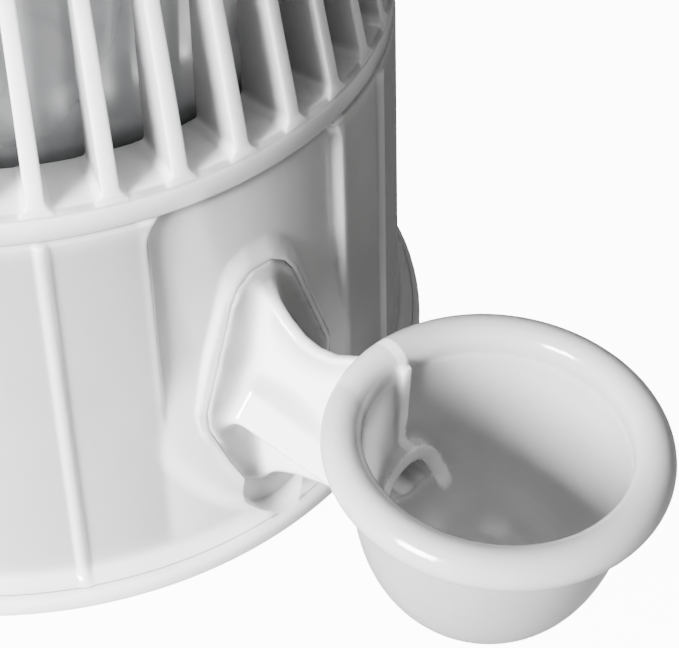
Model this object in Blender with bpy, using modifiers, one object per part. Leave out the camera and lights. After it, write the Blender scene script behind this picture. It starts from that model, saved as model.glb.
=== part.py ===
"""Rabbit water bottle: an inverted bottle in a slatted cage, on a tub that feeds a drinking cup.

Metres, +Z up. The origin is the centre of the tub's flat underside, and the cup points along -Y.
Angles round the axis are counted from -Y towards +X.
"""

import math

import bmesh
import bpy
import numpy as np
from mathutils import Matrix, Vector

# Tub: a slightly conical skirt on a flared foot
SHOULDER_R = 0.095  # skirt radius at the shoulder
SHOULDER_Z = 0.1096
SKIRT_FOOT_R = 0.1012  # skirt radius just above the foot
SKIRT_FOOT_Z = 0.0124
FOOT_R = 0.108
FLOOR = 0.0025  # floor thickness
WALL = 0.0026
RIM_R = 0.0926  # outside of the thin rim that the cage's lip covers
RIM_WALL = 0.0024
RIM_Z = 0.1062
STEP_Z = 0.102  # where the skirt steps in to the thin rim
GAP = 0.0003  # between neighbouring pieces

RIB_FIRST = 29.0  # degrees from the arm to the nearest rib
RIB_PITCH = 30.2
RIB_PAIRS = 5
RIB_WIDTH = 0.0025
RIB_PROUD = 0.0012

POST_R_FOOT = 0.009  # post on the floor that lifts the valve
POST_R_TOP = 0.0045
POST_TOP = 0.0492

# Panel round the arm: sunk evenly above, then leaning out until it is proud below
PANEL_HALF = 0.0265
PANEL_TOP = 0.103
PANEL_EVEN = 0.062  # sunk evenly down to this height
PANEL_LEVEL = 0.044  # height at which panel and skirt are level
PANEL_FOOT = 0.010
PANEL_SUNK = 0.0024
PANEL_PROUD = 0.0030  # at the foot
PANEL_DEPTH = 0.0065  # from the skirt to the back of the wall behind the panel

# Arm: it leaves the skirt square, so it rises a little outwards
ARM_RISE = math.radians(4.0)
ARM_ROOT = Vector((0.0, -0.0964, 0.050))
AXIS_UP = -0.004  # the water channel's height in the arm's own frame
PLATE_OUTLINE = [
    (0.0030, 0.0280),
    (0.0064, 0.0257),
    (0.0089, 0.0218),
    (0.0098, 0.0192),
    (0.0182, -0.0045),
    (0.0179, -0.0095),
    (0.0139, -0.0215),
    (0.0094, -0.0320),
    (0.0032, -0.0350),
]
BOSS_OUTLINE = [
    (0.0032, 0.0345),
    (0.0074, 0.0324),
    (0.0102, 0.0288),
    (0.0114, 0.0250),
    (0.0206, -0.0035),
    (0.0203, -0.0098),
    (0.0160, -0.0225),
    (0.0113, -0.0335),
    (0.0040, -0.0375),
]
BOSS_RIM = 0.0009  # width of the boss's face round the plate
BOSS_PROUD = 0.0016
POCKET_OUT = -0.0005  # floor of the pocket that the plate lies in
PLATE = 0.0022
DISH_UP = -0.0335  # round dish below the plate
DISH_R = 0.011
SPIGOT_R = 0.0065
PORT_R = 0.0070
CHANNEL_R = 0.0045
SPIGOT_LENGTH = 0.0085
GASKET_R = 0.0104
GASKET_DEPTH = 0.0016

# Drinking cup
CUP_Y = -0.16535
CUP_RIM_R = 0.03025  # centre line of the rolled rim
CUP_RIM_Z = 0.0786
CUP_BEAD = 0.0042  # radius of the rolled rim's section
BOWL_R = 0.0282
BOWL_TOP = 0.0765
BOWL_DEPTH = 0.0437
BOWL_POWER = 2.68  # a superellipse's exponent
BOWL_WALL = 0.002

# Slatted cage
CAGE_STEPS = 80
LEDGE_Z = 0.109
LEDGE_INNER_R = 0.0785
LIP_Z = 0.1023
SEAT_R = 0.062
SEAT_Z = 0.0969
FIN_COUNT = 40
FIN_OFFSET = -1.85  # degrees between the arm and the fin nearest to it
FIN_FOOT_R = 0.0943
FIN_FOOT_INNER_R = 0.0802
FIN_LEAN = 0.24  # outer edge's run per unit of height
FIN_INNER_LEAN = 0.045
FIN_TOP = 0.174
FIN_OUTER_WIDTH = 0.0038
FIN_INNER_WIDTH = 0.0024
COLLAR = (0.0769, 0.0802, 0.168, 0.178)  # inner and outer radius, foot and top

# Bottle, neck down
BOTTLE_R = 0.076
BOTTLE_TOP = 0.330
BOTTLE_WALL = 0.0017
NECK_R = 0.026
NECK_WALL = 0.0024
MOUTH_Z = 0.062
SHOULDER_FOOT_Z = 0.086

# Cap and valve
CAP_R = 0.030
CAP_FOOT = 0.058
CAP_TOP = 0.080
CAP_WALL = 0.0028
CAP_PLATE = 0.0025
CAP_HOLE_R = 0.0065
STEM_R = 0.0025
STEM_FOOT = 0.0495
STEM_TOP = 0.0875
POPPET_R = 0.0095
POPPET_Z = 0.0673
POPPET_THICK = 0.002
SEAL_THICK = 0.0015
GUIDE_PLATE_Z = 0.0805
GUIDE_R = 0.0152
SPRING_R = 0.0044
SPRING_WIRE_R = 0.00045
SPRING_TURNS = 5


def clear_scene():
    for obj in list(bpy.data.objects):
        bpy.data.objects.remove(obj, do_unlink=True)


def collection(name):
    made = bpy.data.collections.new(name)
    bpy.context.scene.collection.children.link(made)
    return made


def material(name, colour, roughness, metallic=0.0, alpha=1.0):
    made = bpy.data.materials.new(name)
    made.use_nodes = True
    shader = made.node_tree.nodes["Principled BSDF"]
    shader.inputs["Base Color"].default_value = (*colour, 1.0)
    shader.inputs["Roughness"].default_value = roughness
    shader.inputs["Metallic"].default_value = metallic
    shader.inputs["Alpha"].default_value = alpha
    return made


def add_mesh(name, bm, where, skin=None):
    """Makes an object from a bmesh, with its faces turned outwards."""
    bmesh.ops.recalc_face_normals(bm, faces=bm.faces)
    mesh = bpy.data.meshes.new(name)
    bm.to_mesh(mesh)
    bm.free()
    obj = bpy.data.objects.new(name, mesh)
    where.objects.link(obj)
    if skin:
        mesh.materials.append(skin)
    return obj


def turned(name, profile, steps, where, skin=None, closed=False):
    """Turns a profile of (radius, height) about +Z. A closed profile makes a ring."""
    mesh = bpy.data.meshes.new(name)
    count = len(profile)
    edges = [(i, i + 1) for i in range(count - 1)]
    if closed:
        edges.append((count - 1, 0))
    mesh.from_pydata([(r, 0.0, z) for r, z in profile], edges, [])
    obj = bpy.data.objects.new(name, mesh)
    where.objects.link(obj)
    screw = obj.modifiers.new("Turn", "SCREW")
    screw.steps = steps
    screw.render_steps = steps
    screw.use_merge_vertices = True
    screw.merge_threshold = 0.00001
    bpy.context.view_layer.update()
    solid = bpy.data.meshes.new_from_object(obj.evaluated_get(bpy.context.evaluated_depsgraph_get()))
    bpy.data.objects.remove(obj, do_unlink=True)
    bm = bmesh.new()
    bm.from_mesh(solid)
    return add_mesh(name, bm, where, skin)


def skin_rings(bm, rings):
    """Joins rings of points, all of one length, into a closed body with flat ends."""
    made = [[bm.verts.new(point) for point in ring] for ring in rings]
    count = len(made[0])
    for low, high in zip(made, made[1:]):
        for i in range(count):
            j = (i + 1) % count
            bm.faces.new((low[i], low[j], high[j], high[i]))
    bm.faces.new(made[0])
    bm.faces.new(made[-1])


def lofted(name, rings, where, skin=None):
    bm = bmesh.new()
    skin_rings(bm, rings)
    return add_mesh(name, bm, where, skin)


def combine(obj, operation, *others):
    for other in others:
        step = obj.modifiers.new(f"{operation.title()} {other.name}", "BOOLEAN")
        step.operation = operation
        step.solver = "EXACT"
        step.object = other
        other.hide_render = True
        other.display_type = "WIRE"


def smooth(obj, degrees=35):
    obj.data.shade_smooth()
    obj.data.set_sharp_from_angle(angle=math.radians(degrees))


def around(radius, degrees, z):
    angle = math.radians(degrees)
    return Vector((radius * math.sin(angle), -radius * math.cos(angle), z))


def skirt_r(z):
    """The skirt's outer radius at a height."""
    share = (SHOULDER_Z - z) / (SHOULDER_Z - SKIRT_FOOT_Z)
    return SHOULDER_R + (SKIRT_FOOT_R - SHOULDER_R) * share


def panel_r(z):
    """The panel's outer radius at a height."""
    if z > PANEL_LEVEL:
        return skirt_r(z) - PANEL_SUNK * min(1.0, (z - PANEL_LEVEL) / (PANEL_EVEN - PANEL_LEVEL))
    return skirt_r(z) + PANEL_PROUD * (PANEL_LEVEL - z) / (PANEL_LEVEL - PANEL_FOOT)


def along_arm(x, up, out):
    """A point in the arm's own frame: across, up the panel and out along the arm's axis."""
    outward = Vector((0.0, -math.cos(ARM_RISE), math.sin(ARM_RISE)))
    upward = Vector((0.0, math.sin(ARM_RISE), math.cos(ARM_RISE)))
    return ARM_ROOT + Vector((x, 0.0, 0.0)) + upward * up + outward * out


def arm_rod(name, radius, start, end, steps, where, up=AXIS_UP):
    """A round rod along the arm, by default on the water channel's axis."""
    low = along_arm(0.0, up, start)
    high = along_arm(0.0, up, end)
    bm = bmesh.new()
    turn = (high - low).to_track_quat("Z", "Y").to_matrix().to_4x4()
    place = Matrix.Translation((low + high) / 2) @ turn
    bmesh.ops.create_cone(
        bm, cap_ends=True, segments=steps, radius1=radius, radius2=radius, depth=end - start, matrix=place
    )
    return add_mesh(name, bm, where)


def both_sides(half):
    return half + [(-x, up) for x, up in reversed(half)]


def grown(half, width):
    """A half outline pushed outwards all round by a width."""
    full = both_sides(half)
    made = []
    for i in range(len(half)):
        before = Vector(full[i - 1])
        after = Vector(full[i + 1])
        along = (after - before).normalized()
        here = Vector(full[i]) + Vector((-along.y, along.x)) * width
        made.append((here.x, here.y))
    return made


def surface_out(x, up):
    """How far out along the arm the panel's surface lies at a place on the boss's outline."""
    z = ARM_ROOT.z + up * math.cos(ARM_RISE)
    y = -math.sqrt(panel_r(z) ** 2 - x * x)
    return -(y - ARM_ROOT.y) * math.cos(ARM_RISE) + (z - ARM_ROOT.z) * math.sin(ARM_RISE)


def panel_patch(name, radius_in, radius_out, half, foot, top, where):
    """A patch of the skirt with rounded corners, between two radii that vary with height."""
    bm = bmesh.new()
    bmesh.ops.create_grid(bm, x_segments=8, y_segments=8, size=1.0)
    front = bm.verts[:]
    made = bmesh.ops.extrude_face_region(bm, geom=bm.faces[:])
    back = [item for item in made["geom"] if isinstance(item, bmesh.types.BMVert)]
    for verts, radius in ((front, radius_out), (back, radius_in)):
        for vert in verts:
            across, up = vert.co.x, vert.co.y
            z = foot + (top - foot) * (up + 1) / 2
            narrowing = 0.45 if up < 0 else 0.2
            width = half * (1 - narrowing * abs(up) ** 6)
            vert.co = around(radius(z), math.degrees(across * width / SHOULDER_R), z)
    return add_mesh(name, bm, where)


def make_tub(parts, cutters, skin):
    inner_foot = SKIRT_FOOT_R - WALL
    profile = [
        (0.0, FLOOR),
        (inner_foot, FLOOR),
        (inner_foot, SKIRT_FOOT_Z),
        (skirt_r(0.099) - WALL, 0.099),
        (RIM_R - RIM_WALL, 0.1025),
        (RIM_R - RIM_WALL, RIM_Z),
        (RIM_R, RIM_Z),
        (RIM_R, STEP_Z),
        (skirt_r(STEP_Z), STEP_Z),
        (SKIRT_FOOT_R, SKIRT_FOOT_Z),
        (0.1022, 0.0088),
        (0.1050, 0.0064),
        (FOOT_R - 0.0004, 0.0050),
        (FOOT_R, 0.0040),
        (FOOT_R, 0.0008),
        (FOOT_R - 0.0008, 0.0),
        (0.0, 0.0),
    ]
    tub = turned("base_tub", profile, 60, parts, skin)

    backing = panel_patch(
        "panel_backing",
        lambda z: skirt_r(z) - PANEL_DEPTH,
        panel_r,
        PANEL_HALF + 0.0018,
        PANEL_FOOT,
        0.101,
        cutters,
    )
    recess = panel_patch(
        "panel_recess",
        lambda z: panel_r(z) + 0.00005,
        lambda z: skirt_r(z) + 0.004,
        PANEL_HALF,
        PANEL_LEVEL + 0.003,
        PANEL_TOP,
        cutters,
    )
    ribs = bmesh.new()
    angles = [side * (RIB_FIRST + RIB_PITCH * k) for k in range(RIB_PAIRS) for side in (-1, 1)]
    for degrees in angles + [180.0]:
        rings = []
        for z in (0.0095, STEP_Z - 0.0012):
            half = math.degrees(RIB_WIDTH / 2 / SHOULDER_R)
            inner, outer = skirt_r(z) - 0.0012, skirt_r(z) + RIB_PROUD
            corners = ((inner, -half), (outer, -half * 0.7), (outer, half * 0.7), (inner, half))
            rings.append([around(r, degrees + a, z) for r, a in corners])
        skin_rings(ribs, rings)
    ribs = add_mesh("skirt_ribs", ribs, cutters)
    base = both_sides(BOSS_OUTLINE)
    face = both_sides(grown(PLATE_OUTLINE, BOSS_RIM))
    rings = [
        [along_arm(x, up, surface_out(x, up) - 0.0012) for x, up in base],
        [along_arm(x, up, surface_out(x, up)) for x, up in base],
        [along_arm(x, up, max(BOSS_PROUD, surface_out(x, up) + 0.0002)) for x, up in face],
    ]
    boss = lofted("boss", rings, cutters)
    bed = both_sides(grown(PLATE_OUTLINE, GAP))
    rings = [[along_arm(x, up, out) for x, up in bed] for out in (POCKET_OUT, 0.02)]
    pocket = lofted("plate_pocket", rings, cutters)
    dish = arm_rod("dish", DISH_R, POCKET_OUT + 0.0001, 0.02, 32, cutters, DISH_UP)
    post = [(0.0, POST_TOP), (POST_R_TOP, POST_TOP), (POST_R_FOOT, 0.001), (0.0, 0.001)]
    post = turned("valve_post", post, 20, cutters)
    port = arm_rod("port", PORT_R, -0.02, 0.02, 28, cutters)
    seat = arm_rod("gasket_seat", GASKET_R + GAP, POCKET_OUT - GASKET_DEPTH, 0.02, 28, cutters)
    combine(tub, "UNION", backing)
    combine(tub, "DIFFERENCE", recess)
    combine(tub, "UNION", ribs, boss, post)
    combine(tub, "DIFFERENCE", pocket, dish, seat, port)
    smooth(tub)
    return tub


def make_port_gasket(parts, skin):
    low = POCKET_OUT - GASKET_DEPTH + GAP
    high = POCKET_OUT
    profile = [(PORT_R + GAP, high), (GASKET_R, high), (GASKET_R, low), (PORT_R + GAP, low)]
    gasket = turned("port_gasket", profile, 28, parts, skin, closed=True)
    outward = along_arm(0.0, 0.0, 1.0) - along_arm(0.0, 0.0, 0.0)
    gasket.rotation_euler = outward.to_track_quat("Z", "Y").to_euler()
    gasket.location = along_arm(0.0, AXIS_UP, 0.0)
    smooth(gasket)
    return gasket


def make_cage(parts, cutters, skin):
    seat_slope = 0.333
    ledge_inner = LEDGE_INNER_R
    profile = [
        (ledge_inner, LEDGE_Z),
        (0.0938, LEDGE_Z + 0.0003),
        (0.0950, 0.1081),
        (0.0951, LIP_Z),
        (RIM_R + 0.0004, LIP_Z),
        (RIM_R + 0.0004, RIM_Z + 0.0004),
        (ledge_inner + 0.0025, RIM_Z + 0.0004),
        (ledge_inner + 0.0025, 0.1007),
        (SEAT_R, SEAT_Z - 0.0025),
        (SEAT_R, SEAT_Z),
        (ledge_inner, SEAT_Z + seat_slope * (ledge_inner - SEAT_R)),
    ]
    cage = turned("slat_cage", profile, CAGE_STEPS, parts, skin, closed=True)
    inner, outer, foot, top = COLLAR
    profile = [(inner, top), (outer, top), (outer, foot), (inner, foot)]
    collar = turned("collar", profile, CAGE_STEPS, cutters, closed=True)
    fins = bmesh.new()
    for k in range(FIN_COUNT):
        degrees = FIN_OFFSET + 360.0 / FIN_COUNT * k
        rings = []
        for z in (LEDGE_Z - 0.001, FIN_TOP):
            rise = z - LEDGE_Z
            r_in = FIN_FOOT_INNER_R - FIN_INNER_LEAN * rise
            r_out = FIN_FOOT_R - FIN_LEAN * rise
            width_in = math.degrees(FIN_INNER_WIDTH / 2 / r_in)
            width_out = math.degrees(FIN_OUTER_WIDTH / 2 * (1 - rise * 3) / r_out)
            corners = ((r_in, -width_in), (r_out, -width_out), (r_out, width_out), (r_in, width_in))
            rings.append([around(r, degrees + a, z) for r, a in corners])
        skin_rings(fins, rings)
    fins = add_mesh("fins", fins, cutters)
    combine(cage, "UNION", collar, fins)
    smooth(cage)
    return cage


def make_bottle(parts, skin):
    wall = BOTTLE_WALL
    neck_in = NECK_R - NECK_WALL
    outside = [
        (0.0, BOTTLE_TOP - 0.003),
        (0.052, BOTTLE_TOP - 0.002),
        (0.060, BOTTLE_TOP),
        (0.0700, BOTTLE_TOP - 0.0015),
        (0.0748, BOTTLE_TOP - 0.006),
        (BOTTLE_R, BOTTLE_TOP - 0.013),
        (BOTTLE_R, 0.111),
        (0.0754, 0.1063),
        (0.0733, 0.1024),
        (0.0680, 0.0995),
        (0.0280, SHOULDER_FOOT_Z),
        (NECK_R, SHOULDER_FOOT_Z - 0.002),
        (NECK_R, MOUTH_Z),
    ]
    inside = [
        (neck_in, MOUTH_Z),
        (neck_in, 0.0855),
        (0.0270, 0.0880),
        (0.0673, 0.1013),
        (0.0718, 0.1036),
        (0.0738, 0.1070),
        (BOTTLE_R - wall, 0.1114),
        (BOTTLE_R - wall, BOTTLE_TOP - 0.0135),
        (0.0732, BOTTLE_TOP - 0.007),
        (0.0694, BOTTLE_TOP - 0.0031),
        (0.0602, BOTTLE_TOP - wall),
        (0.0524, BOTTLE_TOP - 0.002 - wall),
        (0.0, BOTTLE_TOP - 0.003 - wall),
    ]
    bottle = turned("bottle", outside + inside, 48, parts, skin)
    smooth(bottle)
    return bottle


def make_cap(parts, skin):
    inner = CAP_R - CAP_WALL
    plate_top = CAP_FOOT + CAP_PLATE
    profile = [
        (inner, CAP_TOP),
        (CAP_R, CAP_TOP),
        (CAP_R, CAP_FOOT + 0.001),
        (CAP_R - 0.001, CAP_FOOT),
        (CAP_HOLE_R, CAP_FOOT),
        (CAP_HOLE_R, plate_top),
        (inner, plate_top),
    ]
    cap = turned("bottle_cap", profile, 40, parts, skin, closed=True)
    smooth(cap)
    return cap


def make_cap_gasket(parts, skin):
    low = CAP_FOOT + CAP_PLATE + GAP
    high = MOUTH_Z - GAP
    outer = CAP_R - CAP_WALL - GAP
    profile = [(0.019, high), (outer, high), (outer, low), (0.019, low)]
    gasket = turned("cap_gasket", profile, 40, parts, skin, closed=True)
    smooth(gasket)
    return gasket


def make_valve_guide(parts, cutters, skin):
    """A foot ring and three legs that carry a plate, whose hole guides the stem."""
    plate_low = GUIDE_PLATE_Z
    foot = CAP_FOOT + CAP_PLATE + GAP
    hole = STEM_R + 0.0004
    plate_high = plate_low + 0.0025
    profile = [(hole, plate_high), (GUIDE_R, plate_high), (GUIDE_R, plate_low), (hole, plate_low)]
    guide = turned("valve_guide", profile, 24, parts, skin, closed=True)
    profile = [(0.0122, foot + 0.002), (0.0172, foot + 0.002), (0.0172, foot), (0.0122, foot)]
    ring = turned("guide_foot", profile, 24, cutters, closed=True)
    legs = bmesh.new()
    for degrees in (30.0, 150.0, 270.0):
        rings = []
        for z in (foot + 0.001, plate_low + 0.0012):
            corners = ((0.0126, -8.0), (0.0148, -8.0), (0.0148, 8.0), (0.0126, 8.0))
            rings.append([around(r, degrees + a, z) for r, a in corners])
        skin_rings(legs, rings)
    legs = add_mesh("guide_legs", legs, cutters)
    combine(guide, "UNION", ring, legs)
    smooth(guide)
    return guide


def make_valve_stem(parts, skin):
    top = POPPET_Z + POPPET_THICK
    profile = [
        (0.0, STEM_TOP),
        (STEM_R - 0.0004, STEM_TOP),
        (STEM_R, STEM_TOP - 0.0004),
        (STEM_R, top),
        (POPPET_R, top),
        (POPPET_R, POPPET_Z),
        (STEM_R, POPPET_Z),
        (STEM_R, STEM_FOOT + 0.001),
        (STEM_R - 0.001, STEM_FOOT),
        (0.0, STEM_FOOT),
    ]
    stem = turned("valve_stem", profile, 24, parts, skin)
    smooth(stem)
    return stem


def make_valve_seal(parts, skin):
    high = POPPET_Z - GAP
    low = high - SEAL_THICK
    inner = STEM_R + GAP
    profile = [(inner, high), (POPPET_R + 0.0005, high), (POPPET_R + 0.0005, low), (inner, low)]
    seal = turned("valve_seal", profile, 24, parts, skin, closed=True)
    smooth(seal)
    return seal


def make_valve_spring(parts, skin):
    """A compression spring between the poppet and the guide plate, as one wire."""
    low = POPPET_Z + POPPET_THICK + GAP + SPRING_WIRE_R
    high = GUIDE_PLATE_Z - GAP - SPRING_WIRE_R
    per_turn = 12
    curve = bpy.data.curves.new("valve_spring", "CURVE")
    curve.dimensions = "3D"
    curve.bevel_depth = SPRING_WIRE_R
    curve.bevel_resolution = 1
    curve.use_fill_caps = True
    spline = curve.splines.new("POLY")
    count = SPRING_TURNS * per_turn + 1
    spline.points.add(count - 1)
    for i, point in enumerate(spline.points):
        angle = 2 * math.pi * i / per_turn
        x, y = SPRING_R * math.cos(angle), SPRING_R * math.sin(angle)
        point.co = (x, y, low + (high - low) * i / (count - 1), 1.0)
    curve.materials.append(skin)
    spring = bpy.data.objects.new("valve_spring", curve)
    parts.objects.link(spring)
    return spring


def bowl_r(z, inset=0.0):
    """The bowl's outer radius at a height, less an inset."""
    share = (BOWL_TOP - z) / (BOWL_DEPTH - inset)
    share = min(max(share, 0.0), 1.0)
    return (BOWL_R - inset) * (1 - share**BOWL_POWER) ** (1 / BOWL_POWER)


def bowl_heights(top, foot, count):
    """Heights that crowd together towards the bowl's round foot."""
    return [foot + (top - foot) * (1 - math.sin(math.pi / 2 * k / count)) for k in range(count)]


def make_cup_arm(parts, cutters, skin):
    """The bowl with its rolled rim, the tapering arm, the plate and the spigot, one moulding."""
    bead = [
        (CUP_RIM_R + CUP_BEAD * math.cos(a), CUP_RIM_Z + CUP_BEAD * math.sin(a))
        for a in np.radians(np.linspace(202.0, -120.0, 12))
    ]
    foot = BOWL_TOP - BOWL_DEPTH
    side = [(bowl_r(z), z) for z in bowl_heights(0.0735, foot, 8)]
    profile = [(0.0, bead[0][1])] + bead + side + [(0.0, foot)]
    cup = turned("cup_arm", profile, 40, parts, skin)
    cup.location = (0.0, CUP_Y, 0.0)

    inner_foot = foot + BOWL_WALL
    side = [(bowl_r(z, BOWL_WALL), z) for z in bowl_heights(0.0760, inner_foot, 8)]
    hollow = turned("bowl_hollow", [(0.0, 0.095), (0.0262, 0.095)] + side + [(0.0, inner_foot)], 40, cutters)
    hollow.location = (0.0, CUP_Y, 0.0)

    # Out along the arm: crest height, half width and height where web meets tube, flange's height, keel
    sections = [
        (0.0010, 0.0255, 0.0046, 0.0060, -0.0078, -0.0335),
        (0.0030, 0.0234, 0.0044, 0.0055, -0.0079, -0.0326),
        (0.0055, 0.0206, 0.0042, 0.0050, -0.0080, -0.0309),
        (0.0094, 0.0174, 0.0040, 0.0045, -0.0076, -0.0283),
        (0.0140, 0.0150, 0.0040, 0.0042, -0.0073, -0.0257),
        (0.0186, 0.0148, 0.0042, 0.0042, -0.0070, -0.0238),
        (0.0241, 0.0160, 0.0046, 0.0046, -0.0066, -0.0216),
        (0.0307, 0.0199, 0.0060, 0.0060, -0.0060, -0.0198),
        (0.0400, 0.0227, 0.0080, 0.0080, -0.0054, -0.0175),
        (0.0460, 0.0227, 0.0080, 0.0080, -0.0050, -0.0170),
    ]
    rings = []
    for out, crest, web, web_up, flange, keel in sections:
        flare = 0.0030 * max(0.0, 1 - out / 0.006) ** 2
        half = [
            (0.0015, crest),
            (0.0019, crest - 0.0035),
            (web, web_up),
            (0.0082 + flare, flange + 0.0058),
            (0.0128 + flare, flange + 0.0009),
            (0.0126 + flare, flange - 0.0009),
            (0.0060, flange - 0.0030),
            (0.0040, flange - 0.0058),
            (0.0036, keel),
        ]
        rings.append([along_arm(x, up, out) for x, up in both_sides(half)])
    arm = lofted("arm_body", rings, cutters)
    back = POCKET_OUT + GAP
    face = both_sides(PLATE_OUTLINE)
    rings = [[along_arm(x, up, out) for x, up in face] for out in (back, back + PLATE)]
    plate = lofted("arm_plate", rings, cutters)
    spigot = arm_rod("arm_spigot", SPIGOT_R, -SPIGOT_LENGTH, back + PLATE * 0.7, 28, cutters)
    channel = arm_rod("arm_channel", CHANNEL_R, -0.02, 0.058, 24, cutters)
    combine(cup, "UNION", arm, plate, spigot)
    combine(cup, "DIFFERENCE", hollow, channel)
    smooth(cup)
    return cup


def main():
    clear_scene()
    parts = collection("rabbit_water_bottle")
    cutters = collection("cutters")
    cutters.hide_render = True
    milky = material("milky_plastic", (0.86, 0.86, 0.86), 0.35)
    clear = material("clear_plastic", (0.75, 0.78, 0.80), 0.12, alpha=0.5)
    white = material("white_plastic", (0.88, 0.88, 0.86), 0.4)
    rubber = material("grey_rubber", (0.22, 0.22, 0.23), 0.7)
    steel = material("steel", (0.62, 0.62, 0.63), 0.3, metallic=1.0)
    make_tub(parts, cutters, milky)
    make_port_gasket(parts, rubber)
    make_cage(parts, cutters, milky)
    make_bottle(parts, clear)
    make_cap(parts, white)
    make_cap_gasket(parts, rubber)
    make_valve_guide(parts, cutters, white)
    make_valve_stem(parts, white)
    make_valve_seal(parts, rubber)
    make_valve_spring(parts, steel)
    make_cup_arm(parts, cutters, milky)


main()
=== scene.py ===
"""Looks of the rabbit water bottle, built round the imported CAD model.

Metres, +Z up, with the cup towards -Y. Angles round the axis are counted from -Y towards +X.
"""

import math

import bmesh
import bpy
import numpy as np
from mathutils import Matrix, Vector
from mathutils.bvhtree import BVHTree


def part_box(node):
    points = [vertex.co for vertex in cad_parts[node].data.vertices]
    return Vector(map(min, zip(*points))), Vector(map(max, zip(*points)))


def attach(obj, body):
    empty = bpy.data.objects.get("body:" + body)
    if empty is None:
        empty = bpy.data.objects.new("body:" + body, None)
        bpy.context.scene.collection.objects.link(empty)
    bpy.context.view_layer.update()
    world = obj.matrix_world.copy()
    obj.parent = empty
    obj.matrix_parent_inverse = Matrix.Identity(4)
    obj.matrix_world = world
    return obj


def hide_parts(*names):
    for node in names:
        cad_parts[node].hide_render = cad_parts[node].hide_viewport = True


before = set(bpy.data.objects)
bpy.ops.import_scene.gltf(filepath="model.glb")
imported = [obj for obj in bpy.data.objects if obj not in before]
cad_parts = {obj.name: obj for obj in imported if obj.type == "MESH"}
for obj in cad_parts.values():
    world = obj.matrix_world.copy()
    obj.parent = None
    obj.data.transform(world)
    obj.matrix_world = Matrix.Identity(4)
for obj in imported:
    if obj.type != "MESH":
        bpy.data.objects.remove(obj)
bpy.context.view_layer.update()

MM = 0.001

# Sizes read from the frame
TUB_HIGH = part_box("base_tub")[1]
CAGE_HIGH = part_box("slat_cage")[1]
BOTTLE_LOW, BOTTLE_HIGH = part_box("bottle")
CUP_LOW, CUP_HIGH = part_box("cup_arm")
CAP_LOW, CAP_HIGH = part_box("bottle_cap")
SPRING_LOW, SPRING_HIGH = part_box("valve_spring")
STEM_LOW, STEM_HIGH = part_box("valve_stem")

# Tub: a slightly conical skirt on a flared foot, with a thin rim and vertical ribs
FOOT_R = TUB_HIGH.x
RIM_Z = TUB_HIGH.z
SHOULDER_R, SHOULDER_Z = 0.095, 0.1096
SKIRT_FOOT_R, SKIRT_FOOT_Z = 0.1012, 0.0124
STEP_Z = 0.102
RIM_R = 0.0926
RIM_WALL = 0.0024
FLOOR = 0.0025
WALL = 0.0026
POST_TOP_R, POST_TOP_Z = 0.0045, 0.0492
RIB_ANGLES = [side * (29.0 + 30.2 * k) for k in range(5) for side in (-1, 1)] + [180.0]
RIB_HALF = 0.9 * MM
RIB_PROUD = 1.1 * MM
RIB_SOFT = 1.1 * MM

# Panel round the arm: sunk evenly above PANEL_EVEN, proud below PANEL_LEVEL, over a rounded pad
PANEL_HALF = 0.0268
PANEL_TOP = 0.103
PANEL_CORNER = 0.008
PANEL_EVEN = 0.062
PANEL_LEVEL = 0.044
PANEL_FOOT = 0.010
PANEL_SUNK = 0.0024
PANEL_PROUD = 0.0030
PANEL_DEPTH = 0.0065
PANEL_EDGE = 0.0006
PANEL_OVERLAP = 0.01
PAD_HALF, PAD_REACH, PAD_MIDDLE, PAD_POWER = 0.0285, 0.036, 0.042, 1.5

# Arm, boss and plate: outlines are (across, up) in the arm's own frame, for the half at +X
ARM_RISE = math.radians(4.0)
ARM_ROOT = np.array([0.0, -0.0964, 0.050])
OUTWARD = np.array([0.0, -math.cos(ARM_RISE), math.sin(ARM_RISE)])
UPWARD = np.array([0.0, math.sin(ARM_RISE), math.cos(ARM_RISE)])
AXIS_UP = -0.004
PLATE_OUTLINE = [
    (0.0030, 0.0280),
    (0.0064, 0.0257),
    (0.0089, 0.0218),
    (0.0098, 0.0192),
    (0.0182, -0.0045),
    (0.0179, -0.0095),
    (0.0139, -0.0215),
    (0.0094, -0.0320),
    (0.0032, -0.0350),
]
BOSS_OUTLINE = [
    (0.0032, 0.0345),
    (0.0074, 0.0324),
    (0.0102, 0.0288),
    (0.0114, 0.0250),
    (0.0206, -0.0035),
    (0.0203, -0.0098),
    (0.0160, -0.0225),
    (0.0113, -0.0335),
    (0.0040, -0.0375),
]
BOSS_RIM = 0.0009
BOSS_PROUD = 0.0016
POCKET_OUT = -0.0005
GAP = 0.0003
PLATE = 0.0022
PLATE_BACK = POCKET_OUT + GAP
DISH_UP, DISH_R = -0.0335, 0.011
SPIGOT_R = 0.0065
PORT_R = 0.0070
CHANNEL_R = 0.0045
GASKET_SEAT_R = 0.0107
SPIGOT_LENGTH = 0.0085
GASKET_DEPTH = 0.0016

# Cup: the bowl's side is a superellipse under a rolled bead
CUP_Y = CUP_LOW.y + (CUP_HIGH.x - CUP_LOW.x) / 2
BEAD_R, BEAD_Z, BEAD = 0.03025, 0.0786, 0.0042
BOWL_R, BOWL_TOP, BOWL_DEPTH, BOWL_POWER = 0.0282, 0.0765, 0.0437, 2.68
BOWL_WALL = 0.0020
CUP_CELL = 0.0007
BEAD_THICK, BOWL_INSIDE_PAINTED_LIGHT = 0.32, 0.31  # shares of full whiteness; the bowl's share lifts its inner wall above its own thickness, painted light in its shaded hollow
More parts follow.
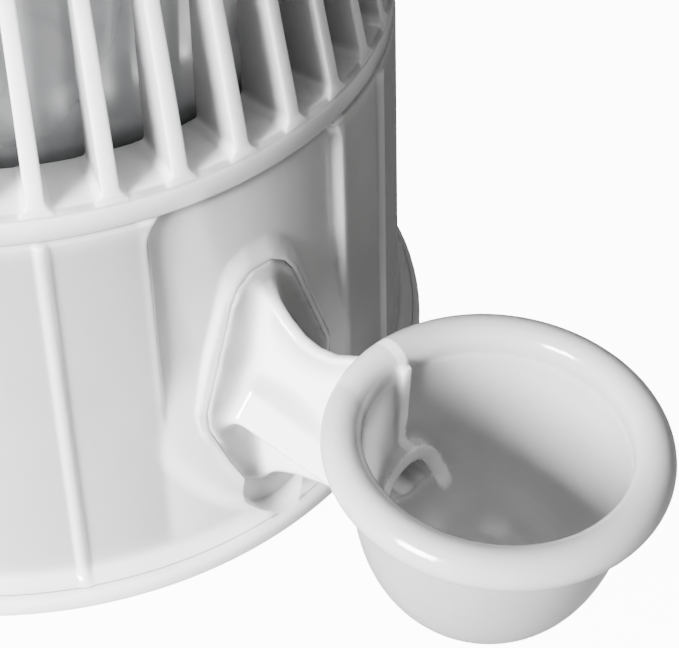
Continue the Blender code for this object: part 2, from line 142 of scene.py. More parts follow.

# Cage: a ledge, slats that taper and lean inwards from it, and a collar round their tops
LEDGE_Z, LEDGE_INNER_R, LIP_Z = 0.109, 0.0785, 0.1023
LIP_R = 0.0951
FIN_COUNT, FIN_OFFSET = 40, -1.85
FIN_FOOT_R, FIN_FOOT_INNER_R = 0.0943, 0.0802
FIN_LEAN, FIN_INNER_LEAN, FIN_TOP = 0.24, 0.045, 0.174
FIN_OUTER_WIDTH, FIN_INNER_WIDTH = 0.0038, 0.0024
COLLAR_FOOT, COLLAR_TOP, COLLAR_IN, COLLAR_OUT = 0.168, CAGE_HIGH.z, 0.0769, 0.0802

# Light: what the world and floor give off is brighter straight to the camera than to all else
WORLD_LIGHT, KEY_LIGHT, TOP_LIGHT = 0.20, 235.0, 3.0
SEEN_WHITE = 12.0
FLOOR_SIZE = 6.0


def move_to(obj, body, slot, *nodes):
    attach(obj, body)
    if nodes:
        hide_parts(*nodes)
    return obj


# ---------------------------------------------------------------- mesh building


def new_object(name, points, faces, skin):
    mesh = bpy.data.meshes.new(name)
    mesh.from_pydata([tuple(p) for p in points], [], [tuple(f) for f in faces])
    mesh.update()
    obj = bpy.data.objects.new(name, mesh)
    bpy.context.scene.collection.objects.link(obj)
    mesh.materials.append(skin)
    return obj


def turn_outwards(obj):
    bm = bmesh.new()
    bm.from_mesh(obj.data)
    bmesh.ops.recalc_face_normals(bm, faces=bm.faces)
    bm.to_mesh(obj.data)
    bm.free()


def smooth(obj, degrees=40):
    obj.data.shade_smooth()
    obj.data.set_sharp_from_angle(angle=math.radians(degrees))


def smooth_by_angle(degrees):
    """A modifier's node group that shades a body as smooth() does and leaves its mesh alone."""
    group = bpy.data.node_groups.new("smooth_by_angle", "GeometryNodeTree")
    for way in ("INPUT", "OUTPUT"):
        group.interface.new_socket("Geometry", in_out=way, socket_type="NodeSocketGeometry")
    start = group.nodes.new("NodeGroupInput")
    end = group.nodes.new("NodeGroupOutput")
    faces = group.nodes.new("GeometryNodeSetShadeSmooth")
    edges = group.nodes.new("GeometryNodeSetShadeSmooth")
    edges.domain = "EDGE"
    edges.inputs["Shade Smooth"].default_value = False
    angle = group.nodes.new("GeometryNodeInputMeshEdgeAngle")
    sharp = group.nodes.new("FunctionNodeCompare")
    sharp.operation = "GREATER_THAN"
    sharp.inputs["B"].default_value = math.radians(degrees)
    group.links.new(start.outputs[0], faces.inputs["Geometry"])
    group.links.new(faces.outputs[0], edges.inputs["Geometry"])
    group.links.new(angle.outputs["Unsigned Angle"], sharp.inputs["A"])
    group.links.new(sharp.outputs[0], edges.inputs["Selection"])
    group.links.new(edges.outputs[0], end.inputs[0])
    return group


def ring_body(name, rings, skin, closed=False, sharp=40):
    """A body from rings of points, in rows x columns x 3. Open rows get flat end faces."""
    rows, columns = rings.shape[:2]
    index = np.arange(rows * columns).reshape(rows, columns)
    if closed:
        index = np.vstack([index, index[:1]])
    a, b = index[:-1], np.roll(index[:-1], -1, axis=1)
    c, d = np.roll(index[1:], -1, axis=1), index[1:]
    faces = np.stack([a, b, c, d], axis=-1).reshape(-1, 4).tolist()
    if not closed:
        faces.append(index[0].tolist())
        faces.append(index[-1].tolist())
    obj = new_object(name, rings.reshape(-1, 3).tolist(), faces, skin)
    turn_outwards(obj)
    smooth(obj, sharp)
    return obj


def rounded(corners, closed=False, steps=5):
    """A polyline through (x, y, cut) corners, each rounded off over the length cut both ways."""
    made = []
    count = len(corners)
    for i, (x, y, cut) in enumerate(corners):
        here = np.array([x, y])
        if cut == 0 or (not closed and i in (0, count - 1)):
            made.append(here)
            continue
        before = np.array(corners[i - 1][:2]) - here
        after = np.array(corners[(i + 1) % count][:2]) - here
        start = here + before / np.linalg.norm(before) * cut
        end = here + after / np.linalg.norm(after) * cut
        for u in np.linspace(0, 1, steps + 1):
            made.append((1 - u) ** 2 * start + 2 * u * (1 - u) * here + u * u * end)
    return np.array(made)


def circle_rings(profile, angles):
    """Rings round +Z for a profile of (radius, height)."""
    profile = np.asarray(profile)
    radius, height = profile[:, :1], profile[:, 1:]
    ones = np.ones_like(angles)[None]
    return np.stack([radius * np.sin(angles), -radius * np.cos(angles), height * ones], axis=-1)


def even_angles(count):
    return np.arange(count) * 2 * math.pi / count


def turned(name, profile, skin, steps=160, closed=False, sharp=40):
    return ring_body(name, circle_rings(profile, even_angles(steps)), skin, closed, sharp)


def boolean(obj, operation, other):
    """Joins or cuts a body with another one, which is used up."""
    step = obj.modifiers.new("Cut", "BOOLEAN")
    step.operation = operation
    step.solver = "EXACT"
    step.object = other
    graph = bpy.context.evaluated_depsgraph_get()
    result = bpy.data.meshes.new_from_object(obj.evaluated_get(graph))
    obj.modifiers.clear()
    obj.data = result
    bpy.data.objects.remove(other, do_unlink=True)


def smooth_step(value, low, high):
    share = np.clip((value - low) / (high - low), 0.0, 1.0)
    return share * share * (3 - 2 * share)


def soft_min(a, b, reach):
    share = np.maximum(reach - np.abs(a - b), 0.0) / reach
    return np.minimum(a, b) - share * share * reach / 4


def soft_max(a, b, reach):
    return -soft_min(-a, -b, reach)


def outline_distance(x, y, outline):
    """Signed distance from points to a closed outline of (x, y) corners, negative inside."""
    nearest = np.full(np.shape(x), np.inf)
    inside = np.zeros(np.shape(x), bool)
    for i in range(len(outline)):
        ax, ay = outline[i - 1]
        bx, by = outline[i]
        ex, ey = bx - ax, by - ay
        share = ((x - ax) * ex + (y - ay) * ey) / (ex * ex + ey * ey)
        share = np.clip(share, 0.0, 1.0)
        gap = (x - ax - ex * share) ** 2 + (y - ay - ey * share) ** 2
        nearest = np.minimum(nearest, gap)
        crosses = (ay > y) != (by > y)
        slope = np.where(ey == 0, 1.0, ey)
        inside ^= crosses & (x < ax + (y - ay) * ex / slope)
    nearest = np.sqrt(nearest)
    return np.where(inside, -nearest, nearest)


def mirrored(half):
    return list(half) + [(-x, y) for x, y in reversed(half)]


def note_thickness(obj, reach=0.009, blur=3):
    """Stores how thick the body is under each point, from 0 to 1, in the attribute thick."""
    mesh = obj.data
    count = len(mesh.vertices)
    polygons = [p.vertices for p in mesh.polygons]
    tree = BVHTree.FromPolygons([v.co for v in mesh.vertices], polygons)
    depth = np.empty(count)
    just_below = 0.00012
    for i, vert in enumerate(mesh.vertices):
        normal = vert.normal
        hit = tree.ray_cast(vert.co - normal * just_below, -normal, reach)
        depth[i] = reach if hit[3] is None else hit[3]
    pairs = np.empty(len(mesh.edges) * 2, np.int64)
    mesh.edges.foreach_get("vertices", pairs)
    first, second = pairs.reshape(-1, 2).T
    for _ in range(blur):
        total, links = depth.copy(), np.ones(count)
        np.add.at(total, first, depth[second])
        np.add.at(total, second, depth[first])
        np.add.at(links, first, 1)
        np.add.at(links, second, 1)
        depth = total / links
    note = mesh.attributes.new("thick", "FLOAT", "POINT")
    note.data.foreach_set("value", (depth / reach).astype(np.float32))


# ---------------------------------------------------------------- materials


def node(tree, kind, **inputs):
    made = tree.nodes.new(kind)
    for key, value in inputs.items():
        made.inputs[key.replace("_", " ")].default_value = value
    return made


def ramp(tree, source, stops):
    made = tree.nodes.new("ShaderNodeValToRGB")
    tree.links.new(source, made.inputs["Fac"])
    elements = made.color_ramp.elements
    while len(elements) < len(stops):
        elements.new(0.5)
    for element, (place, shade) in zip(elements, stops):
        element.position = place
        element.color = (*shade, 1.0) if isinstance(shade, tuple) else (shade, shade, shade, 1.0)
    return made.outputs["Color"]


def noise(tree, scale, detail=3.0, rough=0.5):
    where = tree.nodes.new("ShaderNodeTexCoord")
    made = node(tree, "ShaderNodeTexNoise", Scale=scale, Detail=detail, Roughness=rough)
    tree.links.new(where.outputs["Object"], made.inputs["Vector"])
    return made.outputs["Fac"]


def mix(tree, first, second, factor, kind="MIX"):
    """Mixes two colours; the factor is a number or a socket."""
    made = tree.nodes.new("ShaderNodeMix")
    made.data_type = "RGBA"
    made.blend_type = kind
    made.clamp_factor = True
    if isinstance(factor, (int, float)):
        made.inputs[0].default_value = factor
    else:
        tree.links.new(factor, made.inputs[0])
    for socket, source in ((made.inputs[6], first), (made.inputs[7], second)):
        if isinstance(source, tuple):
            socket.default_value = (*source, 1.0)
        else:
            tree.links.new(source, socket)
    return made.outputs[2]


def finish_material(name, **settings):
    made = bpy.data.materials.new(name)
    made.use_nodes = True
    shader = made.node_tree.nodes["Principled BSDF"]
    for key, value in settings.items():
        shader.inputs[key.replace("_", " ")].default_value = value
    return made, made.node_tree, shader


def add_bump(tree, shader, height, strength, distance):
    bump = node(tree, "ShaderNodeBump", Strength=strength, Distance=distance)
    tree.links.new(height, bump.inputs["Height"])
    tree.links.new(bump.outputs["Normal"], shader.inputs["Normal"])


def milky_plastic(thin, thick, transmission):
    """Natural polypropylene: clear and grey where thin, white where thick, with a satin skin."""
    made, tree, shader = finish_material(
        "milky_polypropylene",
        IOR=1.49,
        Subsurface_Weight=0.75,
        Subsurface_Scale=0.006,
        Subsurface_Radius=(1.0, 1.0, 1.0),
        Specular_IOR_Level=0.6,
    )
    # The thick attribute holds each body's thickness; on the cup it also holds painted light
    # lifting the bowl's inside and the arm's left side.
    depth = node(tree, "ShaderNodeAttribute")
    depth.attribute_name = "thick"
    middle = (thin + thick) / 2
    body = ramp(tree, depth.outputs["Fac"], [(0.18, thin), (0.42, middle), (0.8, thick)])
    clearness = ramp(tree, depth.outputs["Fac"], [(0.18, transmission), (0.6, 0.05)])
    tree.links.new(clearness, shader.inputs["Transmission Weight"])
    clouds = ramp(tree, noise(tree, 26.0, 4.0, 0.55), [(0.3, 0.90), (0.7, 1.0)])
    colour = mix(tree, body, clouds, 1.0, "MULTIPLY")
    tree.links.new(colour, shader.inputs["Base Color"])
    gloss = ramp(tree, noise(tree, 90.0, 3.0, 0.6), [(0.3, 0.11), (0.7, 0.18)])
    tree.links.new(gloss, shader.inputs["Roughness"])
    add_bump(tree, shader, noise(tree, 420.0, 2.0, 0.5), 0.10, 0.0002)
    return made


def clear_plastic():
    """Blow-moulded clear plastic with slow waves in its wall."""
    made, tree, shader = finish_material(
        "clear_bottle",
        IOR=1.46,
        Transmission_Weight=0.72,
        Specular_IOR_Level=0.5,
    )
    waves = noise(tree, 9.0, 2.0, 0.5)
    tint = ramp(tree, waves, [(0.35, (0.68, 0.69, 0.70)), (0.65, (0.82, 0.83, 0.84))])
    tree.links.new(tint, shader.inputs["Base Color"])
    gloss = ramp(tree, noise(tree, 30.0, 2.0, 0.5), [(0.3, 0.10), (0.7, 0.2)])
    tree.links.new(gloss, shader.inputs["Roughness"])
    add_bump(tree, shader, noise(tree, 18.0, 2.0, 0.4), 0.25, 0.0015)
    return made


def moulded_white():
    made, tree, shader = finish_material(
        "white_moulding",
        IOR=1.49,
        Subsurface_Weight=0.1,
        Subsurface_Scale=0.002,
    )
    colour = ramp(tree, noise(tree, 60.0), [(0.3, (0.80, 0.80, 0.78)), (0.7, (0.87, 0.87, 0.86))])
    tree.links.new(colour, shader.inputs["Base Color"])
    gloss = ramp(tree, noise(tree, 200.0), [(0.3, 0.34), (0.7, 0.46)])
    tree.links.new(gloss, shader.inputs["Roughness"])
    add_bump(tree, shader, noise(tree, 900.0), 0.15, 0.0001)
    return made


def moulded_rubber():
    made, tree, shader = finish_material("grey_seal_rubber", IOR=1.5)
    specks = noise(tree, 140.0)
    colour = ramp(tree, specks, [(0.3, (0.13, 0.13, 0.135)), (0.7, (0.20, 0.20, 0.205))])
    tree.links.new(colour, shader.inputs["Base Color"])
    gloss = ramp(tree, noise(tree, 300.0), [(0.3, 0.6), (0.7, 0.78)])
    tree.links.new(gloss, shader.inputs["Roughness"])
    add_bump(tree, shader, noise(tree, 1500.0), 0.3, 0.0001)
    return made


def drawn_steel():
    made, tree, shader = finish_material("spring_steel", Metallic=1.0)
    colour = ramp(tree, noise(tree, 250.0), [(0.3, (0.52, 0.52, 0.53)), (0.7, (0.68, 0.68, 0.69))])
    tree.links.new(colour, shader.inputs["Base Color"])
    gloss = ramp(tree, noise(tree, 900.0), [(0.3, 0.22), (0.7, 0.36)])
    tree.links.new(gloss, shader.inputs["Roughness"])
    return made


# ---------------------------------------------------------------- the tub


def skirt_r(z):
    share = (SHOULDER_Z - z) / (SHOULDER_Z - SKIRT_FOOT_Z)
    return SHOULDER_R + (SKIRT_FOOT_R - SHOULDER_R) * share


def panel_offset(z):
    """How far the panel stands out from the skirt at a height."""
    above = -PANEL_SUNK * smooth_step(z, PANEL_LEVEL - 0.002, PANEL_EVEN + 0.002)
    below = PANEL_PROUD * np.clip((PANEL_LEVEL - z) / (PANEL_LEVEL - PANEL_FOOT), 0, 1)
    return above + below


def panel_mask(x, z):
    """1 on the panel and 0 off it, with a crisp edge above and a soft one round the pad below."""
    corner = PANEL_CORNER
    top = PANEL_TOP + PANEL_EDGE
    middle = (top + PAD_MIDDLE) / 2 - PANEL_OVERLAP
    half_height = (top - PAD_MIDDLE) / 2 + PANEL_OVERLAP
    qx = np.abs(x) - (PANEL_HALF - corner)
    qz = np.abs(z - middle) - (half_height - corner)
    upper = np.hypot(np.maximum(qx, 0), np.maximum(qz, 0))
    upper = upper + np.minimum(np.maximum(qx, qz), 0) - corner
    drop = np.maximum(PAD_MIDDLE - z, 0) / PAD_REACH
    share = (np.abs(x) / PAD_HALF) ** PAD_POWER + drop**PAD_POWER
    lower = (share ** (1 / PAD_POWER) - 1) * PAD_HALF
    crisp = 1 - smooth_step(upper, -0.0010, PANEL_EDGE)
    soft = 1 - smooth_step(lower, -0.0035, 0.0025)
    blend = smooth_step(z, 0.036, 0.056)
    return crisp * blend + soft * (1 - blend)


def boss_radius(angle, z, out):
    """Radius at which the arm's sloping plane, a distance out from its root, meets a level ray."""
    level = (out - math.sin(ARM_RISE) * (z - ARM_ROOT[2])) / math.cos(ARM_RISE) - ARM_ROOT[1]
    return level / np.cos(angle)


def tub_features(angle, z):
    """What ribs, panel and boss add to the skirt's radius."""
    base = skirt_r(z)
    x = angle * SHOULDER_R
    added = panel_offset(z) * panel_mask(x, z)
    for degrees in RIB_ANGLES:
        away = np.abs(wrapped(angle - math.radians(degrees))) * base
        flank = smooth_step(away, RIB_HALF - RIB_SOFT / 2, RIB_HALF + RIB_SOFT)
        added = added + RIB_PROUD * (1 - flank)
    near = np.abs(angle) < 0.30
    radius = base + added
    front = np.clip(angle, -0.4, 0.4)
    across = radius * np.sin(front)
    up = (z - ARM_ROOT[2]) / math.cos(ARM_RISE)
    outer = -outline_distance(across, up, mirrored(BOSS_OUTLINE))
    inner = outline_distance(across, up, mirrored(PLATE_OUTLINE)) - BOSS_RIM
    bevel = np.clip(outer / (outer + np.maximum(inner, 1e-6)), 0.0, 1.0)
    share = np.where(inner <= 0, 1.0, bevel)
    share = 0.7 * share + 0.3 * smooth_step(share, 0.0, 1.0)
    face = boss_radius(front, z, BOSS_PROUD)
    boss = radius + np.maximum(face - radius, 0.0002) * share
    return np.where(near & (outer > 0), np.maximum(boss, radius), radius) - base


def tub_angles():
    """Columns round the tub, close together at the panel and at each rib."""
    made = [np.arange(-180.0, 180.0, 3.0), np.arange(-20.0, 20.0, 0.16)]
    for degrees in RIB_ANGLES:
        made.append(degrees + np.arange(-2.0, 2.0, 0.22))
    made = np.sort(np.concatenate(made) % 360.0)
    keep = np.append(True, np.diff(made) > 0.04)
    return np.radians(made[keep])


def tub_inner():
    """Profile up the inside of the tub, with many points on its tall side."""
    inner_foot = SKIRT_FOOT_R - WALL
    inner = rounded(
        [
            (inner_foot - 0.012, FLOOR, 0),
            (inner_foot, FLOOR, 0.004),
            (skirt_r(0.099) - WALL, 0.099, 0.002),
            (RIM_R - RIM_WALL, 0.1035, 0),
        ],
        steps=8,
    )
    low, high = inner[9], inner[10]  # the ends of the straight side, between two rounded corners
    shares = np.linspace(0, 1, 40)
    side = [(low[0] + (high[0] - low[0]) * s, low[1] + (high[1] - low[1]) * s) for s in shares]
    return np.vstack([inner[:9], side, inner[11:-1]])


def tub_rim():
    """Profile over the thin rim and out to the step."""
    return rounded(
        [
            (RIM_R - RIM_WALL, 0.1035, 0),
            (RIM_R - RIM_WALL, RIM_Z, 0.0009),
            (RIM_R, RIM_Z, 0.0009),
            (RIM_R, STEP_Z + 0.0002, 0.0),
            (skirt_r(STEP_Z) - 0.0022, STEP_Z, 0.0),
        ]
    )


def tub_foot():
    """Profile from the skirt down the flared foot to the underside."""
    return rounded(
        [
            (SKIRT_FOOT_R, SKIRT_FOOT_Z, 0),
            (0.1018, 0.0066, 0.0042),
            (FOOT_R - 0.0002, 0.0052, 0.0022),
            (FOOT_R, 0.0, 0.0016),
            (FOOT_R - 0.004, 0.0, 0),
        ],
        steps=8,
    )


def tub_rows(angles):
    """Radius and height of each row of points, up the inside, over the rim and down the outside."""
    around = wrapped(angles)
    behind_panel = 1 - smooth_step(np.abs(around) * SHOULDER_R, 0.0262, 0.0292)
    rows = []
    for r, z in tub_inner():
        backing = (PANEL_DEPTH - WALL) * behind_panel
        backing = backing * smooth_step(z, 0.0070, 0.0100) * (1 - smooth_step(z, 0.0985, 0.1010))
        rows.append((np.full_like(angles, r) - backing, np.full_like(angles, z)))
    for r, z in tub_rim():
        rows.append((np.full_like(angles, r), np.full_like(angles, z)))
    corner = 0.001
    shoulder = np.linspace(STEP_Z, STEP_Z - corner, 4)
    heights = np.concatenate([shoulder, np.arange(STEP_Z - 0.0016, 0.0124, -0.0006)])
    turn = ((heights - STEP_Z + corner) / corner).clip(0, 1)
    insets = 0.0005 * (1 - np.sqrt(np.clip(1 - turn**2, 0, 1)))
    for z, inset in zip(heights, insets):
        z_row = np.full_like(angles, z)
        rows.append((skirt_r(z) - inset + tub_features(around, z_row), z_row))
    for r, z in tub_foot()[1:]:
        z_row = np.full_like(angles, z)
        fade = np.clip((FOOT_R - 0.0006 - r) / 0.0045, 0, 1)
        rows.append((r + fade * tub_features(around, z_row), z_row))
    return rows


def cut_arm_seat(tub, skin):
    """Cuts the plate's pocket, the dish below it, the gasket's seat and the port."""
    far = 0.02
    floor = POCKET_OUT
    pocket = grown(PLATE_OUTLINE, GAP)
    rings = [arm_points(mirrored(pocket), out) for out in (floor, far)]
    plate_cutter = ring_body("pocket_cutter", np.array(rings), skin)

    dish = [
        (0.0005, 0.001, 0),
        (DISH_R, 0.001, 0.001),
        (DISH_R + 0.0008, 0.004, 0),
        (DISH_R + 0.001, far, 0),
    ]
    dish_cutter = turned("dish_cutter", rounded(dish), skin, steps=96)
    along_arm(dish_cutter, DISH_UP)

    seat = floor - GASKET_DEPTH
    port = [(PORT_R, -far), (PORT_R, seat), (GASKET_SEAT_R, seat), (GASKET_SEAT_R, floor + 0.004)]
    port_cutter = turned("port_cutter", port, skin, steps=64)
    along_arm(port_cutter, AXIS_UP)
    for cutter in (plate_cutter, dish_cutter, port_cutter):
        boolean(tub, "DIFFERENCE", cutter)


def make_tub(skin):
    angles = tub_angles()
    sine, cosine = np.sin(angles), np.cos(angles)
    rings = [np.stack([r * sine, -r * cosine, z], axis=-1) for r, z in tub_rows(angles)]
    tub = ring_body("tub_shell", np.stack(rings), skin, sharp=50)
    cut_arm_seat(tub, skin)
    smooth(tub, 50)
    note_thickness(tub)
    move_to(tub, "base", "milky_plastic", "base_tub")

    profile = rounded(
        [
            (0.0125, FLOOR, 0),
            (0.0085, FLOOR, 0.002),
            (POST_TOP_R, POST_TOP_Z, 0.0015),
            (0.0005, POST_TOP_Z, 0),
        ]
    )
    in_floor = [(0.0125, 0.001)]
    post = turned("valve_post", np.vstack([in_floor, profile]), skin, steps=64)
    note_thickness(post)
    move_to(post, "base", "milky_plastic")


def wrapped(angles):
    """Angles from -pi to pi."""
    return (angles + math.pi) % (2 * math.pi) - math.pi


def along_arm(obj, up):
    """Turns a body made round +Z to lie along the arm, at a height in the arm's own frame."""
    turn = Vector(OUTWARD).to_track_quat("Z", "Y").to_matrix().to_4x4()
    obj.data.transform(Matrix.Translation(Vector(ARM_ROOT + UPWARD * up)) @ turn)


def arm_points(outline, out):
    """Places an (across, up) outline at a distance out along the arm."""
    return [ARM_ROOT + np.array([x, 0.0, 0.0]) + UPWARD * up + OUTWARD * out for x, up in outline]


def grown(half, width):
    """A half outline pushed outwards all round by a width."""
    full = np.array(mirrored(half))
    along = np.array([full[i + 1] - full[i - 1] for i in range(len(half))])
    along /= np.linalg.norm(along, axis=1)[:, None]
    outwards = np.column_stack([-along[:, 1], along[:, 0]])
    return list(map(tuple, full[: len(half)] + outwards * width))


# ---------------------------------------------------------------- the slatted cage


def fin_rings(degrees):
    """A tapering slat with round edges and a flared root, as rings from its foot to its top."""
    root = [-0.0012, 0.0, 0.0003, 0.0007, 0.0013, 0.0021]
    rise = np.concatenate([root, np.linspace(0.0032, FIN_TOP - LEDGE_Z, 9)])
    flare = 0.0016 * np.clip(1 - rise / root[-1], 0, 1) ** 2
    angle = math.radians(degrees)
    outward = np.array([math.sin(angle), -math.cos(angle)])
    across = np.array([math.cos(angle), math.sin(angle)])
    rings = []
    for up, grow in zip(rise, flare):
        r_in = FIN_FOOT_INNER_R - FIN_INNER_LEAN * max(up, 0) - grow
        r_out = FIN_FOOT_R - FIN_LEAN * max(up, 0) + grow * 0.25
        wide = FIN_OUTER_WIDTH / 2 * (1 - max(up, 0) * 3) + grow
        thin = FIN_INNER_WIDTH / 2 + grow
        corners = [(r_in, -thin), (r_out, -wide), (r_out, wide), (r_in, thin)]
        outline = rounded([(r, side, 0.0006) for r, side in corners], True, 3)
        flat = outline[:, :1] * outward + outline[:, 1:] * across
        rings.append(np.column_stack([flat, np.full(len(flat), LEDGE_Z + up)]))
    return np.array(rings)


def cage_ring(skin):
    """The funnel under the bottle, the ledge and the lip over the tub's rim, in one profile."""
    lip_inner_r = RIM_R + 0.0004
    under = RIM_Z + 0.0004
    profile = rounded(
        [
            (LEDGE_INNER_R, LEDGE_Z, 0.0006),
            (0.0940, LEDGE_Z + 0.0002, 0.0006),
            (0.0950, 0.1081, 0.0006),
            (LIP_R, LIP_Z, 0.0006),
            (lip_inner_r, LIP_Z, 0.0004),
            (lip_inner_r, under, 0.0004),
            (LEDGE_INNER_R + 0.0025, under, 0.0006),
            (LEDGE_INNER_R + 0.0025, 0.1007, 0.0008),
            (0.062, 0.0944, 0.0006),
            (0.062, 0.0969, 0.0006),
            (LEDGE_INNER_R, 0.1024, 0.0010),
        ],
        closed=True,
        steps=4,
    )
    return turned("slatted_cage", profile, skin, steps=240, closed=True)


def cage_collar(skin):
    profile = rounded(
        [
            (COLLAR_IN, COLLAR_TOP, 0.0008),
            (COLLAR_OUT + 0.0006, COLLAR_TOP, 0.0008),
            (COLLAR_OUT, COLLAR_FOOT, 0.0008),
            (COLLAR_IN, COLLAR_FOOT, 0.0008),
        ],
        closed=True,
        steps=4,
    )
    return turned("collar_band", profile, skin, steps=240, closed=True)


def cage_slats(skin):
    """All slats as one mesh of separate closed bodies."""
    rings = [fin_rings(FIN_OFFSET + 360.0 / FIN_COUNT * k) for k in range(FIN_COUNT)]
    rows, columns = rings[0].shape[:2]
    index = np.arange(rows * columns).reshape(rows, columns)
    a, b = index[:-1], np.roll(index[:-1], -1, 1)
    c, d = np.roll(index[1:], -1, 1), index[1:]
    sides = np.stack([a, b, c, d], -1).reshape(-1, 4)
    faces = []
    for k in range(FIN_COUNT):
        shift = k * rows * columns
        faces += (sides + shift).tolist()
        faces += [(index[0] + shift).tolist(), (index[-1] + shift).tolist()]
    points = np.concatenate([r.reshape(-1, 3) for r in rings])
    slats = new_object("slats", points.tolist(), faces, skin)
    turn_outwards(slats)
    return slats


def make_cage(skin):
    cage = cage_ring(skin)
    boolean(cage, "UNION", cage_collar(skin))
    boolean(cage, "UNION", cage_slats(skin))
    smooth(cage, 48)
    note_thickness(cage, blur=1)
    move_to(cage, "cage", "milky_plastic", "slat_cage")


# ---------------------------------------------------------------- cup and arm

# Distance out along the arm, then there: the crest's height, the half width and the height
# where the web meets the tube, the flange's height and the keel's height
ARM_SECTIONS = np.array(
    [
        (0.0000, 0.0262, 0.0048, 0.0064, -0.0078, -0.0338),
        (0.0020, 0.0243, 0.0045, 0.0058, -0.0079, -0.0332),
        (0.0035, 0.0228, 0.0044, 0.0054, -0.0079, -0.0323),
        (0.0055, 0.0206, 0.0042, 0.0050, -0.0080, -0.0309),
        (0.0094, 0.0174, 0.0040, 0.0045, -0.0076, -0.0283),
        (0.0140, 0.0150, 0.0040, 0.0042, -0.0073, -0.0257),
        (0.0186, 0.0146, 0.0042, 0.0042, -0.0070, -0.0238),
        (0.0241, 0.0160, 0.0046, 0.0046, -0.0066, -0.0216),
        (0.0307, 0.0199, 0.0060, 0.0060, -0.0060, -0.0198),
        (0.0400, 0.0227, 0.0080, 0.0080, -0.0054, -0.0175),
        (0.0480, 0.0227, 0.0080, 0.0080, -0.0050, -0.0170),
    ]
)
ARM_ROUND = 0.0008
ARM_LENGTH = 0.0465
PLATE_ROUND = 0.0005

# The arch where the arm's mouth opens into the bowl, as (half width, rise), and the web above it
ARCH_Z = 0.0400
ARCH_OUTER = (0.0105, 0.0185)
ARCH_INNER = (0.0074, 0.0138)
MOUTH_FLOOR_Z = 0.0460
WEB_HALF = 0.0011


def bowl_profile(inset, top, count=22):
    """Points down the bowl's side to its foot, as (radius, height)."""
    depth = BOWL_DEPTH - inset
    foot = BOWL_TOP - BOWL_DEPTH + inset
    turn = np.linspace(0, math.pi / 2, count)
    z = foot + (top - foot) * (1 - np.sin(turn))
    share = np.clip((BOWL_TOP - z) / depth, 0, 1)
    r = (BOWL_R - inset) * (1 - share**BOWL_POWER) ** (1 / BOWL_POWER)
    return list(zip(r, z))


def cup_outer_outline():
    turn = np.radians(np.linspace(202, -118, 26))
    bead = [(BEAD_R + BEAD * math.cos(a), BEAD_Z + BEAD * math.sin(a)) for a in turn]
    foot = BOWL_TOP - BOWL_DEPTH
    return [(-0.02, bead[0][1])] + bead + bowl_profile(0.0, 0.0738) + [(-0.02, foot)]


def cup_hollow_outline():
    foot = BOWL_TOP - BOWL_DEPTH + BOWL_WALL
    return [(-0.02, 0.1), (0.0262, 0.1)] + bowl_profile(BOWL_WALL, 0.0760) + [(-0.02, foot)]


def arch(half_width, rise):
    """Outline of an arch over ARCH_Z, run on a little below it."""
    turn = np.linspace(0, math.pi, 17)
    return [(half_width * math.cos(a), ARCH_Z + rise * math.sin(a)) for a in turn] + [
        (-half_width, ARCH_Z - 0.004),
        (half_width, ARCH_Z - 0.004),
    ]


def between(value, low, high):
    """Signed distance to the slab between two values."""
    return np.maximum(low - value, value - high)


def arm_distance(x, out, up):
    """Signed distance to the cruciform arm: crest and web above, tube, flanges and keel below."""
    columns = ARM_SECTIONS[:, 1:6].T
    crest, web, web_up, flange, keel = (np.interp(out, ARM_SECTIONS[:, 0], c) for c in columns)
    flare = 0.0030 * np.maximum(0.0, 1 - out / 0.006) ** 2
    thin = ARM_ROUND
    half = [
        (0.0015 - thin, crest - thin),
        (0.0019 - thin, crest - 0.0035),
        (web - thin, web_up),
        (0.0082 + flare - thin, flange + 0.0054),
        (0.0128 + flare - thin, flange + 0.0003),
        (0.0127 + flare - thin, flange - 0.0002),
        (0.0060 - thin, flange - 0.0026),
        (0.0040 - thin, flange - 0.0058),
        (0.0036 - thin, keel + thin),
    ]
    outline = half + [(-wide, height) for wide, height in reversed(half)]
    arm = outline_distance(x, up, outline) - thin
    return np.maximum(arm, between(out, 0.0, ARM_LENGTH))


def plate_distance(x, out, up):
    """Signed distance to the plate at the arm's root, with its edges rounded."""
    edge = outline_distance(x, up, mirrored(PLATE_OUTLINE))
    flat = np.abs(out - PLATE_BACK - PLATE / 2) - PLATE / 2
    a, b = edge + PLATE_ROUND, flat + PLATE_ROUND
    outside = np.hypot(np.maximum(a, 0), np.maximum(b, 0))
    return outside + np.minimum(np.maximum(a, b), 0) - PLATE_ROUND


